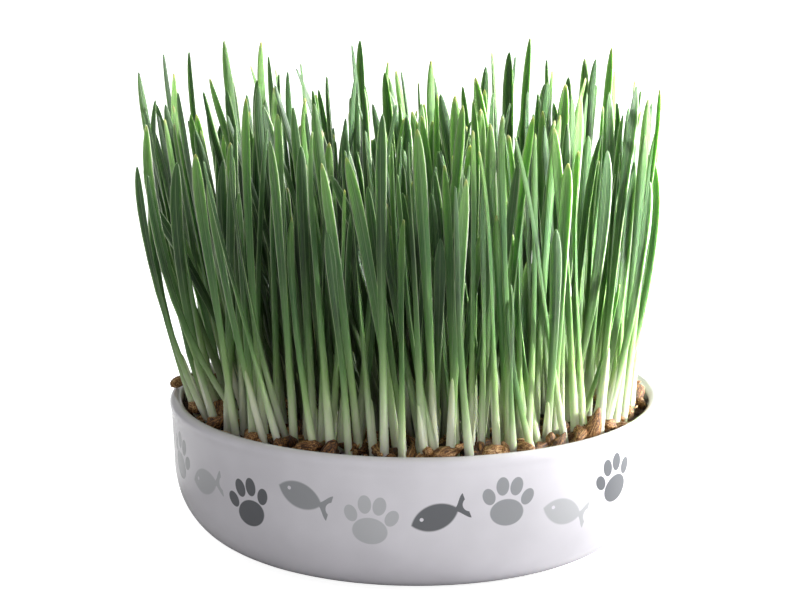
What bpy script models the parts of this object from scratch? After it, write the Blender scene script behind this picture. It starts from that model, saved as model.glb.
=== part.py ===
"""A bowl of cat grass: a glazed bowl, the soil in it, and barley grass growing from root mats.

The origin is the centre of the bowl's foot, +Z is up and -Y is the front. All sizes are in metres.
"""

import math
import random
from dataclasses import dataclass

import bmesh
import bpy
import numpy as np
from mathutils import Euler, Matrix, Vector

# The bowl, turned about Z
BOWL_RADIUS = 0.0750
BOWL_HEIGHT = 0.0440
LIP_RADIUS = 0.0020
NECK_RADIUS = 0.0744
NECK_HEIGHT = 0.0375
WALL_RADIUS = 0.0739
FOOT_RADIUS = 0.0450
BELLY_HEIGHT = 0.0240
INSIDE_RADIUS = 0.0712
FLOOR_RADIUS = 0.0410
FLOOR_HEIGHT = 0.0050
BELLY_FULLNESS = 3.0
BELLY_POINTS = 5
LIP_POINTS = 4
TURN_STEPS = 40

# The soil, and the recess in it that the root mats lie in
FIT_GAP = 0.0003
SOIL_TOP = 0.0400
RECESS_RADIUS = 0.0694
RECESS_FLOOR = 0.0330

# The root mats: one disc cut along the lines halfway between the tufts
MAT_RADIUS = 0.0690
MAT_BOTTOM = RECESS_FLOOR + FIT_GAP
MAT_TOP = SOIL_TOP
MAT_SIDES = 40
TUFT_PITCH = 0.0272
TUFT_RINGS = 2
CUT_WIDTH = 0.0005

# Where the shoots come up
SEED = 41
ROOT_PITCH = 0.0058
ROOT_JITTER = 0.0013
ROOT_SPREAD = 0.0668
ROOT_MARGIN = 0.0021
ROOT_SINK = 0.0030

# The shape of a shoot: a round stem that narrows, then opens into a thin blade. The places along it
# are shares of its height
FOOT_WIDTH = 0.0027
FOOT_DEPTH = 0.0023
WAIST_WIDTH = 0.0020
WAIST_DEPTH = 0.0017
BLADE_DEPTH = 0.0009
BLADE_WIDTHS = (0.0026, 0.0039)
FOOT_END = 0.10
WAIST = 0.28
OPEN = 0.60
WIDEST = 0.84
TAPERS_FROM = 0.86
STATIONS = (0.0, 0.27, 0.60, 0.93, 1.0)

# How the stand leans: outwards, a little to the left, and in slow waves
FLARE = 0.10
DRIFT_X = -0.0055
WAVE_LEAN = 0.0055
WAVE_LENGTH = 0.075
LEAN_SPREAD = 0.0100
TWIST_SPREAD = 0.9
BOWS = (0.4, 2.2)
REACH_LOW = (-0.0790, -0.0800)
REACH_HIGH = (0.0705, 0.0800)

# How tall the shoots are: a little lower at the back, and a little higher at the sides
TOP_MEAN = 0.1195
TOP_SPREAD = 0.0115
TOP_LIMITS = (0.0880, 0.1400)
TOP_FALL = 0.05
TOP_RISE = 0.010

# How a shoot is placed: the room kept round it, the steps it is compared at, and the tries
SHOOT_GAP = 0.0005
SLICE = 0.002
DRAWS = 60

# Tips of the tallest blades, x and height, which make the ragged outline of the stand
LEADER_TIPS = (
    (-0.0845, 0.139), (-0.0795, 0.144), (-0.0677, 0.145), (-0.0610, 0.149), (-0.0495, 0.148),
    (-0.0368, 0.141), (-0.0290, 0.138), (-0.0197, 0.147), (-0.0156, 0.148), (-0.0085, 0.139),
    (-0.0015, 0.140), (0.0056, 0.142), (0.0180, 0.134), (0.0239, 0.140), (0.0280, 0.145),
    (0.0336, 0.149), (0.0415, 0.143), (0.0460, 0.137), (0.0524, 0.143), (0.0566, 0.143),
    (0.0607, 0.146), (0.0669, 0.136), (0.0707, 0.130), (0.0722, 0.120), (-0.0823, 0.113),
)  # fmt: skip
LEADER_DEPTH = 0.022

# Barley kernels, half sunk in the mats
KERNEL_SIZE = (0.0040, 0.0018, 0.0017)
KERNEL_SINK = 0.0004
KERNELS_INSIDE = 1
KERNELS_OUTSIDE = 3
KERNEL_REACH = 0.0085


@dataclass
class Shoot:
    """One shoot. Its root and tip are x and y, and its tip is at the height top."""

    root: np.ndarray
    tip: np.ndarray
    top: float
    bow: float
    facing: float
    twist: float
    width: float

    def centre(self, t):
        """x, y and z of the middle line at the share t of the height, for an array t."""
        lean = (self.bow * t + (1 - self.bow) * t**2)[:, None]
        across = self.root + (self.tip - self.root) * lean
        low = MAT_TOP - ROOT_SINK
        return np.column_stack([across, low + (self.top - low) * t])

    def breadth(self, t):
        """Half the width and half the depth at t."""
        narrowed = np.clip((t - TAPERS_FROM) / (1 - TAPERS_FROM), 0, 1)
        widths = (FOOT_WIDTH, FOOT_WIDTH, WAIST_WIDTH, self.width * 0.8, self.width)
        half_width = np.interp(t, (0, FOOT_END, WAIST, OPEN, WIDEST), widths) / 2
        half_depth = np.interp(t, (FOOT_END, WAIST, OPEN), (FOOT_DEPTH, WAIST_DEPTH, BLADE_DEPTH)) / 2
        return half_width * (1 - narrowed**2) ** 0.6, half_depth

    def broadside(self, t):
        """The direction across the blade at t, as x and y."""
        turned = self.facing + self.twist * t
        return np.column_stack([np.cos(turned), np.sin(turned)])

    def slices(self, heights):
        """Both edges and half the depth where level planes cut the lofted shoot. It is NaN past the tip."""
        t = np.array(STATIONS)
        middle = self.centre(t)
        half_width, half_depth = self.breadth(t)
        side = self.broadside(t) * half_width[:, None]
        found = []
        for edge in (middle[:, :2] - side, middle[:, :2] + side):
            found.append(np.column_stack([at_heights(heights, middle, edge[:, k]) for k in (0, 1)]))
        return found[0], found[1], at_heights(heights, middle, half_depth)


def at_heights(heights, middle, values):
    return np.interp(heights, middle[:, 2], values, right=np.nan)


def point_gap(point, start, end):
    """The distance from each point to each segment."""
    along = end - start
    share = ((point - start) * along).sum(-1) / np.maximum((along**2).sum(-1), 1e-12)
    nearest = start + np.clip(share, 0, 1)[..., None] * along
    return np.linalg.norm(point - nearest, axis=-1)


def turn_sign(a, b, c):
    """1 where a, b and c turn to the left, and -1 where they turn to the right."""
    first, second = b - a, c - a
    return np.sign(first[..., 0] * second[..., 1] - first[..., 1] * second[..., 0])


def segment_gap(a, b, c, d):
    """The distance between the segments ab and cd, which is 0 where they cross."""
    gap = np.minimum.reduce([point_gap(a, c, d), point_gap(b, c, d), point_gap(c, a, b), point_gap(d, a, b)])
    cross = (turn_sign(a, b, c) != turn_sign(a, b, d)) & (turn_sign(c, d, a) != turn_sign(c, d, b))
    return np.where(cross, 0.0, gap)


class Stand:
    """The shoots placed so far. A new one is taken only where it stays clear of them all."""

    def __init__(self):
        self.heights = np.arange(MAT_TOP - ROOT_SINK, max(top for _, top in LEADER_TIPS), SLICE)
        self.shoots = []
        self.left = np.empty((0, len(self.heights), 2))
        self.right = np.empty((0, len(self.heights), 2))
        self.half_depth = np.empty((0, len(self.heights)))

    def takes(self, shoot):
        left, right, half_depth = shoot.slices(self.heights)
        gap = segment_gap(left[None], right[None], self.left, self.right)
        if np.any(gap < self.half_depth + half_depth + SHOOT_GAP):
            return False
        self.shoots.append(shoot)
        self.left = np.append(self.left, left[None], axis=0)
        self.right = np.append(self.right, right[None], axis=0)
        self.half_depth = np.append(self.half_depth, half_depth[None], axis=0)
        return True


def ring_and_turn(point):
    """Sorts the tufts from the middle outwards, and round each ring."""
    return round(math.hypot(*point), 6), math.atan2(point[1], point[0])


def tuft_centres():
    """Points of a six-sided grid, out to the given number of rings."""
    found = []
    for row in range(-TUFT_RINGS, TUFT_RINGS + 1):
        for column in range(-TUFT_RINGS, TUFT_RINGS + 1):
            if abs(row + column) <= TUFT_RINGS:
                found.append((TUFT_PITCH * (column + row / 2), TUFT_PITCH * row * math.sqrt(3) / 2))
    return np.array(sorted(found, key=ring_and_turn))


def kept_in_tuft(site, centres):
    """The site moved, if need be, clear of the cuts round its own mat. Also the number of that tuft."""
    own = int(np.argmin(np.linalg.norm(centres - site, axis=1)))
    for other in range(len(centres)):
        if other == own:
            continue
        way = centres[other] - centres[own]
        way_length = np.linalg.norm(way)
        clear = ((centres[own] + centres[other]) / 2 - site) @ way / way_length
        if clear < ROOT_MARGIN:
            site = site - way / way_length * (ROOT_MARGIN - clear)
    return site, own


def root_sites(draw, centres):
    """The jittered six-sided grid that the kernels were sown on, and each site's tuft."""
    rows = int(ROOT_SPREAD / (ROOT_PITCH * math.sqrt(3) / 2)) + 1
    columns = 2 * rows
    sites = []
    for row in range(-rows, rows + 1):
        for column in range(-columns, columns + 1):
            x = ROOT_PITCH * (column + row / 2) + draw.uniform(-ROOT_JITTER, ROOT_JITTER)
            y = ROOT_PITCH * row * math.sqrt(3) / 2 + draw.uniform(-ROOT_JITTER, ROOT_JITTER)
            if math.hypot(x, y) < ROOT_SPREAD:
                sites.append(kept_in_tuft(np.array([x, y]), centres))
    return sites


def flow(site):
    """How far the tip of a shoot at this site tends to lie from its root."""
    x, y = site * 2 * math.pi / WAVE_LENGTH
    wave = np.array([math.sin(y + 0.6 * x + 1.0), math.sin(x - 0.5 * y + 2.2)])
    return site * FLARE + np.array([DRIFT_X, 0.0]) + wave * WAVE_LEAN


def drawn_shoot(draw, site, tip, top, looseness):
    """A shoot at the site. Its tip is drawn near the given one, nearer as looseness falls."""
    spread = LEAN_SPREAD * looseness
    drawn_tip = tip + np.array([draw.gauss(0, spread), draw.gauss(0, spread)])
    return Shoot(
        root=site,
        tip=drawn_tip,
        top=top,
        bow=draw.uniform(*BOWS),
        facing=draw.uniform(0, math.pi),
        twist=draw.gauss(0, TWIST_SPREAD),
        width=draw.uniform(*BLADE_WIDTHS),
    )


def held_in(shoot):
    """The shoot with its tip kept within reach."""
    shoot.tip = np.clip(shoot.tip, REACH_LOW, REACH_HIGH)
    return shoot


def grown_stand(centres):
    """All the shoots, the tall ones first, each with the number of its tuft."""
    draw = random.Random(SEED)
    sites = root_sites(draw, centres)
    draw.shuffle(sites)
    stand, tufts = Stand(), []
    for tip_x, top in LEADER_TIPS:
        wanted = np.array([(tip_x - DRIFT_X) / (1 + 2 * FLARE), LEADER_DEPTH])
        sites.sort(key=lambda entry: abs(entry[0][0] - wanted[0]) + abs(entry[0][1] - wanted[1]) / 3)
        site, own = sites.pop(0)
        for count in range(DRAWS):
            tip = np.array([tip_x, site[1] * (1 + FLARE)])
            if stand.takes(drawn_shoot(draw, site, tip, top, 0.1 + 0.4 * count / DRAWS)):
                tufts.append(own)
                break
    draw.shuffle(sites)
    for site, own in sites:
        mean_top = TOP_MEAN - TOP_FALL * site[1] + TOP_RISE * abs(site[0]) / ROOT_SPREAD
        for count in range(DRAWS):
            top = min(max(draw.gauss(mean_top, TOP_SPREAD), TOP_LIMITS[0]), TOP_LIMITS[1])
            shoot = held_in(drawn_shoot(draw, site, site + flow(site), top, 1.0 - 0.7 * count / DRAWS))
            if stand.takes(shoot):
                tufts.append(own)
                break
    return stand.shoots, tufts


def new_object(name, mesh, collection, material=None):
    made = bpy.data.objects.new(name, mesh)
    if material:
        mesh.materials.append(material)
    collection.objects.link(made)
    return made


def mesh_from(bm, name):
    mesh = bpy.data.meshes.new(name)
    bm.to_mesh(mesh)
    bm.free()
    return mesh


def new_material(name, colour, roughness):
    material = bpy.data.materials.new(name)
    material.use_nodes = True
    shader = material.node_tree.nodes["Principled BSDF"]
    shader.inputs["Base Color"].default_value = (*colour, 1.0)
    shader.inputs["Roughness"].default_value = roughness
    material.diffuse_color = (*colour, 1.0)
    return material


def belly(foot_radius, wall_radius, low, high):
    """The rounded side from the foot up to the wall, as radius and height."""
    points = []
    for step in range(BELLY_POINTS + 1):
        turn = math.pi / 2 * step / BELLY_POINTS
        out = math.sin(turn) ** (2 / BELLY_FULLNESS)
        up = 1 - math.cos(turn)
        points.append((foot_radius + (wall_radius - foot_radius) * out, low + (high - low) * up))
    return points


def inside_belly(gap):
    """The inside of the bowl from its floor to its wall, or a shape that lies in it with this gap."""
    return belly(FLOOR_RADIUS - gap, INSIDE_RADIUS - gap, FLOOR_HEIGHT + gap, BELLY_HEIGHT + gap)


def bowl_profile():
    """Up the inside, over the lip and down the outside to the foot."""
    lip_centre, lip_height = BOWL_RADIUS - LIP_RADIUS, BOWL_HEIGHT - LIP_RADIUS
    lip = []
    for step in range(LIP_POINTS + 1):
        turn = math.pi * (1 - step / LIP_POINTS)
        lip.append((lip_centre + LIP_RADIUS * math.cos(turn), lip_height + LIP_RADIUS * math.sin(turn)))
    outside = belly(FOOT_RADIUS, WALL_RADIUS, 0.0, BELLY_HEIGHT)
    return [
        (0.0, FLOOR_HEIGHT),
        *inside_belly(0.0),
        *lip,
        (NECK_RADIUS, NECK_HEIGHT),
        *reversed(outside),
        (0.0, 0.0),
    ]


def soil_profile():
    """From the middle of the recess over its edge and down beside the bowl to the floor."""
    return [
        (0.0, RECESS_FLOOR),
        (RECESS_RADIUS, RECESS_FLOOR),
        (RECESS_RADIUS, SOIL_TOP),
        (INSIDE_RADIUS - FIT_GAP, SOIL_TOP),
        *reversed(inside_belly(FIT_GAP)),
        (0.0, FLOOR_HEIGHT + FIT_GAP),
    ]


def turned(name, profile, collection, material):
    """A profile of radius and height, turned about Z."""
    bm = bmesh.new()
    points = [bm.verts.new((radius, 0.0, height)) for radius, height in profile]
    for first, second in zip(points, points[1:]):
        bm.edges.new((first, second))
    made = new_object(name, mesh_from(bm, name), collection, material)
    screw = made.modifiers.new("turn", "SCREW")
    screw.angle = 2 * math.pi
    screw.steps = TURN_STEPS
    screw.render_steps = TURN_STEPS
    screw.use_merge_vertices = True
    screw.merge_threshold = 0.00005
    screw.use_smooth_shade = True
    return made


def root_mat(own, centres, collection, material):
    """The piece of the mat disc nearest to this tuft's centre."""
    bm = bmesh.new()
    middle = Matrix.Translation((0, 0, (MAT_TOP + MAT_BOTTOM) / 2))
    bmesh.ops.create_cone(
        bm, cap_ends=True, segments=MAT_SIDES, radius1=MAT_RADIUS, radius2=MAT_RADIUS,
        depth=MAT_TOP - MAT_BOTTOM, matrix=middle,
    )  # fmt: skip
    for other in range(len(centres)):
        if other == own:
            continue
        way = Vector((*(centres[other] - centres[own]), 0.0)).normalized()
        halfway = Vector((*(centres[other] + centres[own]) / 2, 0.0))
        everything = bm.verts[:] + bm.edges[:] + bm.faces[:]
        cut = bmesh.ops.bisect_plane(
            bm, geom=everything, plane_co=halfway - way * CUT_WIDTH / 2, plane_no=way, clear_outer=True
        )
        rim = [item for item in cut["geom_cut"] if isinstance(item, bmesh.types.BMEdge)]
        if rim:
            bmesh.ops.holes_fill(bm, edges=rim)
    bmesh.ops.recalc_face_normals(bm, faces=bm.faces)
    return new_object(f"tuft_{own + 1:02d}", mesh_from(bm, "root_mat"), collection, material)


def blade(shoot, collection):
    """A three-sided loft: a flat face between the edges, and a keel behind it."""
    t = np.array(STATIONS)
    middle = shoot.centre(t)
    half_width, half_depth = shoot.breadth(t)
    side = np.column_stack([shoot.broadside(t), np.zeros(len(t))])
    front = np.column_stack([-side[:, 1], side[:, 0], np.zeros(len(t))]) * half_depth[:, None]
    side = side * half_width[:, None]
    bm = bmesh.new()
    rings = []
    for k in range(len(t) - 1):
        corners = (middle[k] - side[k] + front[k], middle[k] + side[k] + front[k], middle[k] - front[k])
        rings.append([bm.verts.new(corner) for corner in corners])
    tip = bm.verts.new(middle[-1])
    bm.faces.new(rings[0])
    for low, high in zip(rings, rings[1:]):
        for k in range(3):
            bm.faces.new((low[k], high[k], high[(k + 1) % 3], low[(k + 1) % 3]))
    for k in range(3):
        bm.faces.new((rings[-1][k], tip, rings[-1][(k + 1) % 3]))
    bmesh.ops.triangulate(bm, faces=bm.faces)
    bmesh.ops.recalc_face_normals(bm, faces=bm.faces)
    return new_object("blade", mesh_from(bm, "blade"), collection)


def kernel(place, turn, collection):
    """A barley kernel lying half in the mat."""
    bm = bmesh.new()
    bmesh.ops.create_icosphere(bm, subdivisions=1, radius=1.0)
    bmesh.ops.scale(bm, vec=KERNEL_SIZE, verts=bm.verts)
    bm.transform(Matrix.Translation(place) @ Euler(turn).to_matrix().to_4x4())
    return new_object("kernel", mesh_from(bm, "kernel"), collection)


def sow_kernels(own, centres, collection):
    draw = random.Random(SEED + 1 + own)
    outside = np.linalg.norm(centres[own]) > TUFT_PITCH * 1.5
    for _ in range(KERNELS_OUTSIDE if outside else KERNELS_INSIDE):
        way, reach = draw.uniform(0, 2 * math.pi), KERNEL_REACH * math.sqrt(draw.random())
        x, y = centres[own] + reach * np.array([math.cos(way), math.sin(way)])
        turn = (draw.uniform(-0.3, 0.3), draw.uniform(-0.15, 0.15), draw.uniform(0, math.pi))
        kernel((x, y, MAT_TOP - draw.uniform(0, KERNEL_SINK)), turn, collection)


def fused(made, repeats):
    """Joins a collection's objects to this one, and removes them."""
    union = made.modifiers.new("join", "BOOLEAN")
    union.operation = "UNION"
    union.solver = "MANIFOLD"
    union.operand_type = "COLLECTION"
    union.collection = repeats
    graph = bpy.context.evaluated_depsgraph_get()
    mesh = bpy.data.meshes.new_from_object(made.evaluated_get(graph))
    made.modifiers.clear()
    made.data = mesh
    for item in list(repeats.objects):
        bpy.data.objects.remove(item)
    bpy.data.collections.remove(repeats)


def make_tufts(collection, material):
    centres = tuft_centres()
    shoots, tufts = grown_stand(centres)
    for own in range(len(centres)):
        made = root_mat(own, centres, collection, material)
        repeats = bpy.data.collections.new("repeats")
        bpy.context.scene.collection.children.link(repeats)
        for shoot, tuft in zip(shoots, tufts):
            if tuft == own:
                blade(shoot, repeats)
        sow_kernels(own, centres, repeats)
        fused(made, repeats)


def main():
    for item in list(bpy.data.objects):
        bpy.data.objects.remove(item)
    collection = bpy.data.collections.new("bowl_of_cat_grass")
    bpy.context.scene.collection.children.link(collection)
    glaze = new_material("white_glaze", (0.80, 0.79, 0.81), 0.15)
    soil = new_material("soil", (0.10, 0.06, 0.035), 0.95)
    grass = new_material("grass", (0.16, 0.36, 0.09), 0.45)
    turned("bowl", bowl_profile(), collection, glaze)
    turned("soil", soil_profile(), collection, soil)
    make_tufts(collection, grass)


if __name__ == "__main__":
    main()
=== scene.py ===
"""Dresses the bowl of cat grass: the glazed bowl with its print, the soil, the kernels and the barley."""

import math
import random
from dataclasses import dataclass

import bmesh
import bpy
import numpy as np
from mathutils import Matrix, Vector


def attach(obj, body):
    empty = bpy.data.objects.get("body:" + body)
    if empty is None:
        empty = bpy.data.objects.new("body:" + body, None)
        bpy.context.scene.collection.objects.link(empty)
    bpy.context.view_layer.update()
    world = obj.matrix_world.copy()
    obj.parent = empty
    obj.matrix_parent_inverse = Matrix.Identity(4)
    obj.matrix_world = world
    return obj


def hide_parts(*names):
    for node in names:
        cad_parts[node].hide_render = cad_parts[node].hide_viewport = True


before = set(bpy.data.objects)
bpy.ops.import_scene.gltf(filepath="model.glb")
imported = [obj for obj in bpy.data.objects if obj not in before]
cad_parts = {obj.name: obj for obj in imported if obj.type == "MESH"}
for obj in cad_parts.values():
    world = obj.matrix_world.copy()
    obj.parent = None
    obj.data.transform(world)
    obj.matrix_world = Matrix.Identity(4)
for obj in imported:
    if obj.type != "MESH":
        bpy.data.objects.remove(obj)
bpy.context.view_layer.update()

bl_info = {
    "name": "Bowl of cat grass",
    "version": (1, 0, 0),
    "blender": (4, 5, 0),
    "location": "3D View > Sidebar > Cat Grass",
    "description": "A glazed bowl of young barley grass",
    "category": "Object",
}

MM = 0.001
TURN = 2 * math.pi

# The bowl and the soil, as in the CAD model
BOWL_RADIUS = 0.0750
BOWL_HEIGHT = 0.0440
LIP_RADIUS = 0.0020
WALL_RADIUS = 0.0739
FOOT_RADIUS = 0.0450
BELLY_HEIGHT = 0.0240
INSIDE_RADIUS = 0.0712
FLOOR_RADIUS = 0.0410
FLOOR_HEIGHT = 0.0050
BELLY_FULLNESS = 3.0
SOIL_TOP = 0.0400

# The stand of shoots, as in the CAD model
TUFT_PITCH = 0.0272
TUFT_RINGS = 2
SEED = 41
ROOT_PITCH = 0.0058
ROOT_JITTER = 0.0013
ROOT_SPREAD = 0.0668
ROOT_MARGIN = 0.0021
ROOT_SINK = 0.0030
FOOT_WIDTH = 0.0027
FOOT_DEPTH = 0.0023
WAIST_WIDTH = 0.0020
WAIST_DEPTH = 0.0017
BLADE_DEPTH = 0.0009
BLADE_WIDTHS = (0.0026, 0.0039)
FOOT_END = 0.10
WAIST = 0.28
OPEN = 0.60
WIDEST = 0.84
TAPERS_FROM = 0.86
STATIONS = (0.0, 0.27, 0.60, 0.93, 1.0)
FLARE = 0.10
DRIFT_X = -0.0055
WAVE_LEAN = 0.0055
WAVE_LENGTH = 0.075
LEAN_SPREAD = 0.0100
TWIST_SPREAD = 0.9
TOP_MEAN = 0.1195
TOP_SPREAD = 0.0115
TOP_LIMITS = (0.0880, 0.1400)
TOP_FALL = 0.05
TOP_RISE = 0.010
BOWS = (0.4, 2.2)
REACH_LOW = (-0.0790, -0.0800)
REACH_HIGH = (0.0705, 0.0800)
SHOOT_GAP = 0.0005
SLICE = 0.002
COARSE_STEP = 6
DRAWS = 60

# The tips that stand out in the photograph, as x and height
LEADER_TIPS = (
    (-0.0845, 0.139), (-0.0795, 0.144), (-0.0677, 0.145), (-0.0610, 0.149), (-0.0495, 0.148),
    (-0.0368, 0.141), (-0.0290, 0.138), (-0.0197, 0.147), (-0.0156, 0.148), (-0.0085, 0.139),
    (-0.0015, 0.140), (0.0056, 0.142), (0.0180, 0.134), (0.0239, 0.140), (0.0280, 0.145),
    (0.0336, 0.149), (0.0415, 0.143), (0.0460, 0.137), (0.0524, 0.143), (0.0566, 0.143),
    (0.0607, 0.146), (0.0669, 0.136), (0.0707, 0.130), (0.0722, 0.120), (-0.0823, 0.113),
)  # fmt: skip
LEADER_DEPTH = 0.022

# The bowl's finer lines: the steps of its lip, and its neck and foot ring as radius and height
LIP_STEPS = 12
NECK = ((0.07470, 0.0406), (0.07452, 0.0399), (0.07450, 0.0390), (0.07448, 0.0375), (0.0742, 0.0310))
FOOT_RING = ((FOOT_RADIUS - 0.4 * MM, 0.0), (0.0415, 0.0), (0.0408, 0.0007), (0.0390, 0.0009))
UNDERSIDE = ((0.0200, 0.0009), (0.0, 0.0009))

# The print: where it starts, and how its motifs swing up and down, in millimetres, and tilt, both in
# whole waves round the bowl
PRINT_TURN = 0.093
SWING_WAVES = 9
SWING_HEIGHT = 3.2
TILT_WAVES = 7
TILT_ANGLE = 0.35

# The print's motifs are made of ovals: the centre, the two radii and the turn. A fish also has a tail,
# which begins and ends at these places. Lengths here are in millimetres
PAW = (
    (0.0, -2.6, 5.0, 3.9, 0.0), (-5.8, 1.9, 1.8, 2.5, 0.45), (-2.1, 5.0, 1.9, 2.7, 0.12),
    (2.1, 5.0, 1.9, 2.7, -0.12), (5.8, 1.9, 1.8, 2.5, -0.45),
)  # fmt: skip
FISH_SIDES = ((-1.5, -4.2, 8.2, 8.0), (-1.5, 4.2, 8.2, 8.0))
FISH_EYE = (-5.2, 0.7, 0.55, 0.55)
TAIL_NOTCH = (9.2, 0.0, 2.4, 2.2)
TAIL_SPAN = (3.4, 8.0)

# What lies on the soil: how far out the middles of the pieces and the kernels' ends may reach, and
# half a kernel's length, width and depth
LITTER_REACH = 0.0700
KERNEL_LIMIT = 0.0708
KERNEL_SIZE = (0.0040, 0.0018, 0.0017)
ROOTLET_POINTS = 7
ROOTLET_STEP = 1.3 * MM
ROOTLET_HALF = 0.17 * MM

# The kernels that stand out in the photograph, each with its place, turn and scale
HUSKS_SEEN = (
    ((-0.0722, 0.0015, 0.0462), (0.3, -0.35, 0.5), 0.95),
    ((0.0085, -0.0668, 0.0432), (0.4, -0.3, 0.5), 1.35),
    ((0.0510, -0.0440, 0.0440), (0.2, -1.25, 0.4), 1.35),
    ((0.0300, -0.0605, 0.0428), (0.9, 0.2, 2.4), 1.15),
    ((-0.0310, -0.0590, 0.0425), (0.5, 0.3, 2.8), 1.25),
    ((-0.0660, -0.0180, 0.0432), (0.3, 0.2, 1.9), 1.2),
)  # fmt: skip

# The thinner shoots between the others, which they may cut into by THIN_OVERLAP
THIN_TOPS = (0.084, 0.134)
THIN_WIDTHS = (0.0019, 0.0032)
THIN_DRAWS = 8
THIN_OVERLAP = 0.0006

# The finer leaves: more stations, and an outline of eight points. Stems nearer the middle of the stand
# than the first of the last two lengths below are darkened as painted shade, more and more over the second
LEAF_STATIONS = (0.0, 0.1, 0.2, 0.31, 0.43, 0.55, 0.66, 0.76, 0.84, 0.90, 0.945, 0.975, 0.992, 1.0)
LEAF_HALF_DEPTH = 0.00016
LEAF_SIDES = 8
PAINTED_SHADE_WITHIN = 0.062
PAINTED_SHADE_WIDTH = 0.022

# The floor and the lights
FLOOR_REACH = 6.0
KEY_WAY = (0.84, 0.54, 0.38)
KEY_ANGLE = math.radians(25)
SIDE_LIGHT_PLACE = (0.5, -0.16, 0.22)
SIDE_LIGHT_AIM = (0.068, 0.0, 0.098)
SIDE_LIGHT_CONE = math.radians(15)

# The photograph: its size, where the middle of the bowl lies in it, and its scale there, in pixels
FRAME_SIZE = (800, 600)
BOWL_SEEN_AT = (416, 458)
PIXELS_PER_MM = 3.23
SENSOR_WIDTH = 36.0


@dataclass
class Shoot:
    """One shoot. Its root and tip are x and y, and its tip is at the height top."""

    root: np.ndarray
    tip: np.ndarray
    top: float
    bow: float
    facing: float
    twist: float
    width: float

    def centre(self, t):
        """x, y and z of the middle line at the share t of the height, for an array t."""
        lean = (self.bow * t + (1 - self.bow) * t**2)[:, None]
        across = self.root + (self.tip - self.root) * lean
        low = SOIL_TOP - ROOT_SINK
        return np.column_stack([across, low + (self.top - low) * t])

    def breadth(self, t):
        """Half the width and half the depth at t."""
        narrowed = np.clip((t - TAPERS_FROM) / (1 - TAPERS_FROM), 0, 1)
        widths = (FOOT_WIDTH, FOOT_WIDTH, WAIST_WIDTH, self.width * 0.8, self.width)
        half_width = np.interp(t, (0, FOOT_END, WAIST, OPEN, WIDEST), widths) / 2
        half_depth = np.interp(t, (FOOT_END, WAIST, OPEN), (FOOT_DEPTH, WAIST_DEPTH, BLADE_DEPTH)) / 2
        return half_width * (1 - narrowed**2) ** 0.6, half_depth

    def broadside(self, t):
        """The direction across the blade at t, as x and y."""
        turned = self.facing + self.twist * t
        return np.column_stack([np.cos(turned), np.sin(turned)])

    def slices(self, heights):
        """Both edges and half the depth where level planes cut the lofted shoot. It is NaN past the tip."""
        t = np.array(STATIONS)
        middle = self.centre(t)
        half_width, half_depth = self.breadth(t)
        side = self.broadside(t) * half_width[:, None]
        found = []
        for edge in (middle[:, :2] - side, middle[:, :2] + side):
            found.append(np.column_stack([at_heights(heights, middle, edge[:, k]) for k in (0, 1)]))
        return found[0], found[1], at_heights(heights, middle, half_depth)


def at_heights(heights, middle, values):
    """The values at these heights, NaN above the tip."""
    return np.interp(heights, middle[:, 2], values, right=np.nan)


def point_gap(point, start, end):
    """The distance from each point to each segment."""
    along = end - start
    share = ((point - start) * along).sum(-1) / np.maximum((along**2).sum(-1), 1e-12)
    nearest = start + np.clip(share, 0, 1)[..., None] * along
    return np.linalg.norm(point - nearest, axis=-1)


def turn_sign(a, b, c):
    """1 where a, b and c turn to the left, and -1 where they turn to the right."""
    first, second = b - a, c - a
    return np.sign(first[..., 0] * second[..., 1] - first[..., 1] * second[..., 0])


def segment_gap(a, b, c, d):
    """The distance between the segments ab and cd, which is 0 where they cross."""
    gap = np.minimum.reduce([point_gap(a, c, d), point_gap(b, c, d), point_gap(c, a, b), point_gap(d, a, b)])
    cross = (turn_sign(a, b, c) != turn_sign(a, b, d)) & (turn_sign(c, d, a) != turn_sign(c, d, b))
    return np.where(cross, 0.0, gap)


class Stand:
    """The shoots placed so far. A new one is taken only where it stays clear of them all."""

    def __init__(self):
        self.heights = np.arange(SOIL_TOP - ROOT_SINK, max(top for _, top in LEADER_TIPS), SLICE)
        self.shoots = []
        self.left = np.empty((0, len(self.heights), 2))
        self.right = np.empty((0, len(self.heights), 2))
        self.half_depth = np.empty((0, len(self.heights)))

    def takes(self, shoot, gap_wanted=SHOOT_GAP):
        """Adds the shoot if it stays clear. A few levels are compared first, because that is quick."""
        left, right, half_depth = shoot.slices(self.heights)
        for step in (COARSE_STEP, 1):
            few = slice(None, None, step)
            gap = segment_gap(left[None, few], right[None, few], self.left[:, few], self.right[:, few])
            if np.any(gap < self.half_depth[:, few] + half_depth[few] + gap_wanted):
                return False
        self.shoots.append(shoot)
        self.left = np.append(self.left, left[None], axis=0)
        self.right = np.append(self.right, right[None], axis=0)
        self.half_depth = np.append(self.half_depth, half_depth[None], axis=0)
        return True


def ring_and_turn(point):
    """Sorts the tufts from the middle outwards, and round each ring."""
    return round(math.hypot(*point), 6), math.atan2(point[1], point[0])


def tuft_centres():
    """Points of a six-sided grid, out to the given number of rings."""
    found = []
    for row in range(-TUFT_RINGS, TUFT_RINGS + 1):
        for column in range(-TUFT_RINGS, TUFT_RINGS + 1):
            if abs(row + column) <= TUFT_RINGS:
                found.append((TUFT_PITCH * (column + row / 2), TUFT_PITCH * row * math.sqrt(3) / 2))
    return np.array(sorted(found, key=ring_and_turn))


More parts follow.
